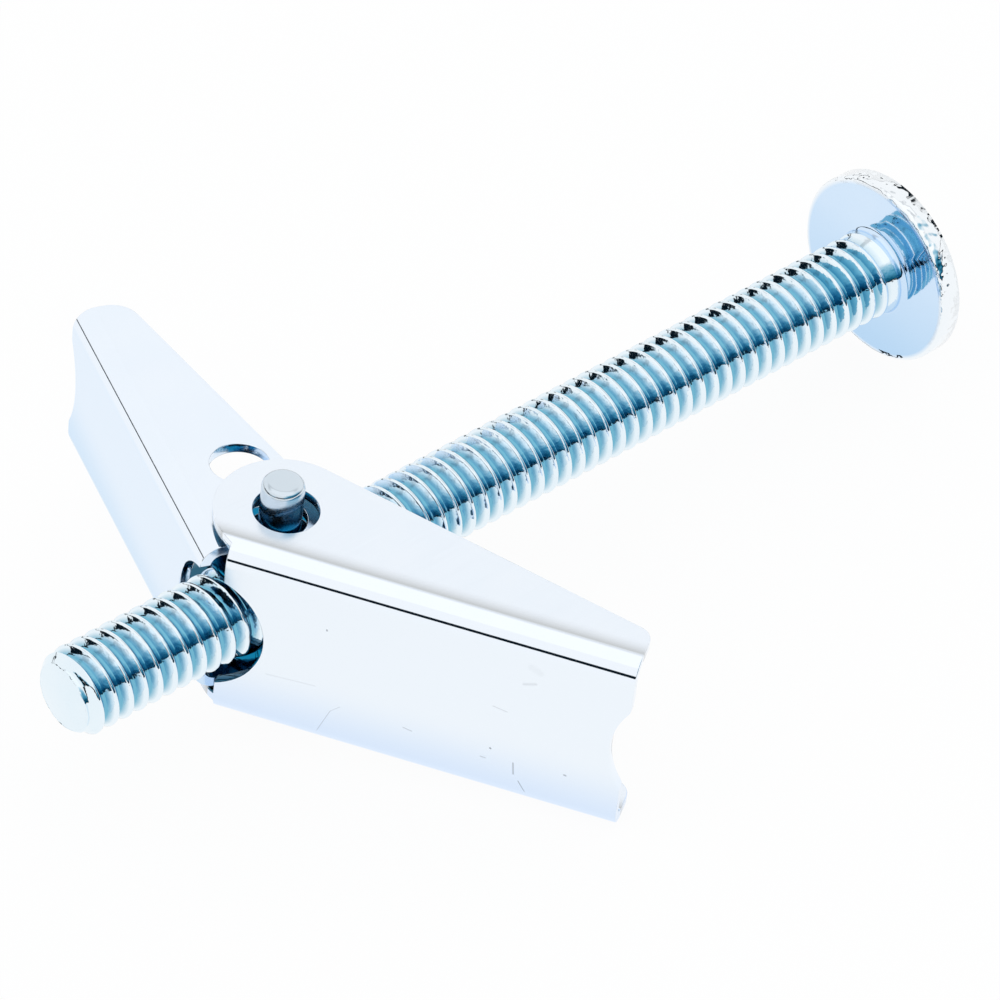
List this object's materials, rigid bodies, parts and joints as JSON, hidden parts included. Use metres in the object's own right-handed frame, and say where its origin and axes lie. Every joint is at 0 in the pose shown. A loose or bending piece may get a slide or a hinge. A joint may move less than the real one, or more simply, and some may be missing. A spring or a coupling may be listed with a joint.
{
  "type": "spring toggle bolt",
  "caption": "Long machine screw with a mushroom head, and a sprung pair of folded sheet wings on a trunnion nut that open behind a hollow panel.",
  "frame": {"origin": "centre of the flat bearing face under the screw's head", "axes": "+X along the screw from the head to the tip, +Z along the trunnion axis, the outer wing on the +Y side"},
  "size_m": [0.0785, 0.0521, 0.0198],
  "materials": {
    "zinc_plate": "bright zinc plate",
    "spring_wire": "drawn spring wire"
  },
  "bodies": {
    "screw": {"machine_screw": "zinc_plate"},
    "nut": {"trunnion_nut": "zinc_plate", "torsion_spring": "spring_wire"},
    "outer_wing": {"outer_wing": "zinc_plate"},
    "inner_wing": {"inner_wing": "zinc_plate"}
  },
  "joints": [
    {"name": "nut_travel", "type": "slide", "parent": "screw", "child": "nut", "axis": [1, 0, 0], "range_m": [-0.02667, 0.0127]},
    {"name": "outer_wing_fold", "type": "hinge", "parent": "nut", "child": "outer_wing", "pos_m": [0.0566, 0, 0], "axis": [0, 0, 1], "range_deg": [0, 58.8], "stiffness_Nm_per_rad": 0.02, "springref_deg": -34.38, "deforming": ["torsion_spring"]},
    {"name": "inner_wing_fold", "type": "hinge", "parent": "nut", "child": "inner_wing", "pos_m": [0.0566, 0, 0], "axis": [0.0258, 0.0686, -0.9973], "range_deg": [0, 69.4], "stiffness_Nm_per_rad": 0.02, "springref_deg": -34.38, "deforming": ["torsion_spring"]}
  ]
}
